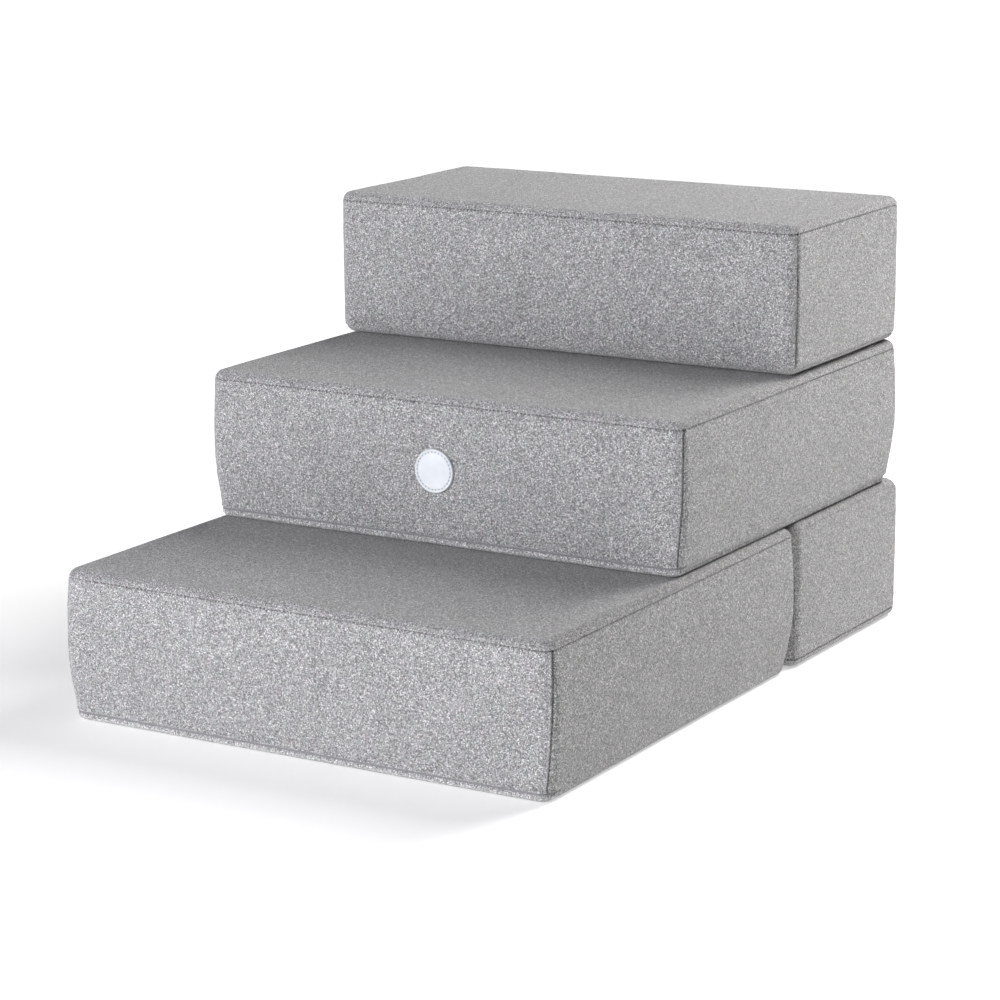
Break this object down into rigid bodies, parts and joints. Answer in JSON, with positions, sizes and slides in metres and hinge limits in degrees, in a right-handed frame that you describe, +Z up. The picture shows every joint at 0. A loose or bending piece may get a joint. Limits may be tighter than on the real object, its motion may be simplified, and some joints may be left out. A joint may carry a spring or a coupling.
{
  "type": "folding foam pet steps",
  "caption": "Fabric-covered foam pet steps made of two hinged cushion modules that stack into a stair and fold flat.",
  "frame": {"origin": "on the floor, under the middle of the whole object's box", "axes": "+X to the right, +Y from the front step to the back, +Z up"},
  "size_m": [0.5005, 0.702, 0.424],
  "materials": {
    "cover_fabric": "heathered grey twill",
    "base_fabric": "woven, with rubber grip dots",
    "foam": "open-cell foam",
    "zip_coil": "woven coil",
    "zip_metal": "satin paint",
    "hinge_tape": "woven webbing",
    "hook_strip": "nylon hooks",
    "loop_strip": "nylon loops",
    "patch_leather": "smooth, faintly grained",
    "patch_thread": "thread"
  },
  "bodies": {
    "lower_step": {"base_hinge_tape_front": "hinge_tape", "lower_step_base_panel": "base_fabric", "lower_step_foam_core": "foam", "lower_step_front_panel": "cover_fabric", "lower_step_left_panel": "cover_fabric", "lower_step_loop_strip": "loop_strip", "lower_step_rear_panel": "cover_fabric", "lower_step_right_panel": "cover_fabric", "lower_step_tread_panel": "cover_fabric", "lower_step_zip_coil": "zip_coil"},
    "rear_base": {"base_hinge_tape_rear": "hinge_tape", "rear_base_cap_panel": "base_fabric", "rear_base_foam_core": "foam", "rear_base_left_panel": "cover_fabric", "rear_base_loop_strip": "loop_strip", "rear_base_right_panel": "cover_fabric", "rear_base_wrap_panel": "cover_fabric", "rear_base_zip_coil": "zip_coil", "rear_base_zip_panel": "cover_fabric"},
    "middle_step": {"middle_step_base_panel": "base_fabric", "middle_step_foam_core": "foam", "middle_step_front_panel": "cover_fabric", "middle_step_hook_strip_front": "hook_strip", "middle_step_hook_strip_rear": "hook_strip", "middle_step_left_panel": "cover_fabric", "middle_step_rear_panel": "cover_fabric", "middle_step_right_panel": "cover_fabric", "middle_step_tread_panel": "cover_fabric", "middle_step_zip_coil": "zip_coil", "patch": "patch_leather", "patch_stitching": "patch_thread", "top_hinge_tape_lower": "hinge_tape"},
    "top_step": {"top_hinge_tape_upper": "hinge_tape", "top_step_cap_panel": "cover_fabric", "top_step_foam_core": "foam", "top_step_left_panel": "cover_fabric", "top_step_right_panel": "cover_fabric", "top_step_wrap_panel": "cover_fabric", "top_step_zip_coil": "zip_coil", "top_step_zip_panel": "cover_fabric"},
    "lower_step_zip_pull": {"lower_step_zip_pull": "zip_metal"},
    "lower_step_zip_slider": {"lower_step_zip_slider": "zip_metal"},
    "middle_step_zip_pull": {"middle_step_zip_pull": "zip_metal"},
    "middle_step_zip_slider": {"middle_step_zip_slider": "zip_metal"},
    "rear_base_zip_pull": {"rear_base_zip_pull": "zip_metal"},
    "rear_base_zip_slider": {"rear_base_zip_slider": "zip_metal"},
    "top_step_zip_pull": {"top_step_zip_pull": "zip_metal"},
    "top_step_zip_slider": {"top_step_zip_slider": "zip_metal"}
  },
  "joints": [
    {"name": "upper_module_lift", "type": "slide", "parent": "lower_step", "child": "middle_step", "axis": [0, 0, 1], "range_m": [0, 0.8]},
    {"name": "rear_base_fold", "type": "hinge", "parent": "lower_step", "child": "rear_base", "pos_m": [0, 0.112, 0.141], "axis": [1, 0, 0], "range_deg": [0, 180]},
    {"name": "top_step_fold", "type": "hinge", "parent": "middle_step", "child": "top_step", "pos_m": [0, 0.342, 0.283], "axis": [-1, 0, 0], "range_deg": [0, 180]},
    {"name": "lower_step_zip_slide", "type": "slide", "parent": "lower_step", "child": "lower_step_zip_slider", "axis": [0, -1, 0], "range_m": [0, 0.36]},
    {"name": "lower_step_pull_swing", "type": "hinge", "parent": "lower_step_zip_slider", "child": "lower_step_zip_pull", "pos_m": [-0.24879, 0.064, 0.00735], "axis": [0.0665, 0, -0.9978], "range_deg": [0, 165]},
    {"name": "middle_step_zip_slide", "type": "slide", "parent": "middle_step", "child": "middle_step_zip_slider", "axis": [0, -1, 0], "range_m": [0, 0.36]},
    {"name": "middle_step_pull_swing", "type": "hinge", "parent": "middle_step_zip_slider", "child": "middle_step_zip_pull", "pos_m": [-0.24879, 0.294, 0.14935], "axis": [0.0665, 0, -0.9978], "range_deg": [0, 165]},
    {"name": "top_step_zip_slide", "type": "slide", "parent": "top_step", "child": "top_step_zip_slider", "axis": [1, 0, 0], "range_m": [0, 0.39]},
    {"name": "top_step_pull_swing", "type": "hinge", "parent": "top_step_zip_slider", "child": "top_step_zip_pull", "pos_m": [-0.205, 0.3413, 0.4145], "axis": [0, 0, 1], "range_deg": [0, 165]},
    {"name": "rear_base_zip_slide", "type": "slide", "parent": "rear_base", "child": "rear_base_zip_slider", "axis": [1, 0, 0], "range_m": [0, 0.39]},
    {"name": "rear_base_pull_swing", "type": "hinge", "parent": "rear_base_zip_slider", "child": "rear_base_zip_pull", "pos_m": [-0.205, 0.1127, 0.0095], "axis": [0, 0, -1], "range_deg": [0, 20]}
  ],
  "couplings": [
    {"joint": "rear_base_fold", "follows": "upper_module_lift", "rad_per_m": 3.926}
  ]
}
